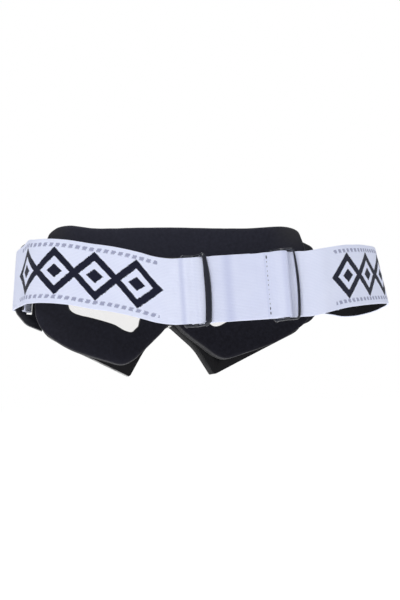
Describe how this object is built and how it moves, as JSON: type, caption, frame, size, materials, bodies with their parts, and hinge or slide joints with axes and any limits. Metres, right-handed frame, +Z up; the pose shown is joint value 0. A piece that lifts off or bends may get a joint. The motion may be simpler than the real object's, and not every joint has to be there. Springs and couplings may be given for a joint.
{
  "type": "motocross goggles",
  "caption": "Off-road riding goggles: moulded frame with a curved clear lens, layered face foam, side outriggers and an elastic strap joined by sliders",
  "frame": {"origin": "midway between the wearer's temples, on the line where the face foam meets them", "axes": "+Z is up as worn, +Y points back towards the wearer's head, +X is the wearer's left, and the lens faces -Y"},
  "size_m": [0.2669, 0.1156, 0.1073],
  "materials": {
    "frame_plastic": "moulded, glossy black",
    "outrigger_plastic": "moulded, satin black",
    "lens_clear": "clear polycarbonate",
    "post_plastic": "satin black",
    "firm_foam": "firm open-cell foam, black",
    "soft_foam": "soft open-cell foam, black",
    "fleece": "brushed fleece, black",
    "vent_foam": "coarse filter foam, black",
    "webbing": "ribbed woven elastic, white outside and black inside, with a woven geometric pattern",
    "slider_plastic": "moulded, glossy black",
    "thread": "dark sewing thread"
  },
  "bodies": {
    "goggle": {"frame": "frame_plastic", "lens": "lens_clear", "tear_off_post_left": "post_plastic", "tear_off_post_right": "post_plastic", "firm_foam": "firm_foam", "soft_foam": "soft_foam", "fleece_layer": "fleece", "vent_foam_top": "vent_foam", "vent_foam_left": "vent_foam", "vent_foam_right": "vent_foam", "outrigger_left": "outrigger_plastic", "outrigger_right": "outrigger_plastic", "outrigger_studs": "outrigger_plastic", "strap_left_end": "webbing", "strap_left_side": "webbing", "strap_right_end": "webbing", "strap_right_side": "webbing", "stitching_left": "thread", "stitching_right": "thread"},
    "strap_middle": {"strap_left_back": "webbing", "strap_outer_layer": "webbing", "strap_right_back": "webbing", "strap_inner_layer": "webbing"},
    "left_slide": {"slider_left": "slider_plastic", "strap_inner_end": "webbing", "stitching_inner": "thread"},
    "right_slide": {"slider_right": "slider_plastic", "strap_outer_end": "webbing", "stitching_outer": "thread"}
  },
  "joints": [
    {"name": "strap_pull", "type": "slide", "parent": "goggle", "child": "strap_middle", "axis": [0, 1, 0], "range_m": [0, 0.06], "stiffness_N_per_m": 80, "deforming": ["strap_left_side", "strap_right_side"]},
    {"name": "left_slider_shift", "type": "slide", "parent": "strap_middle", "child": "left_slide", "axis": [-0.9918, 0.1218, 0.0384], "range_m": [-0.006, 0.012], "deforming": ["strap_inner_layer"]},
    {"name": "right_slider_shift", "type": "slide", "parent": "strap_middle", "child": "right_slide", "axis": [-0.9918, 0.1218, 0.0384], "range_m": [-0.008, 0.005], "deforming": ["strap_outer_layer"]}
  ]
}
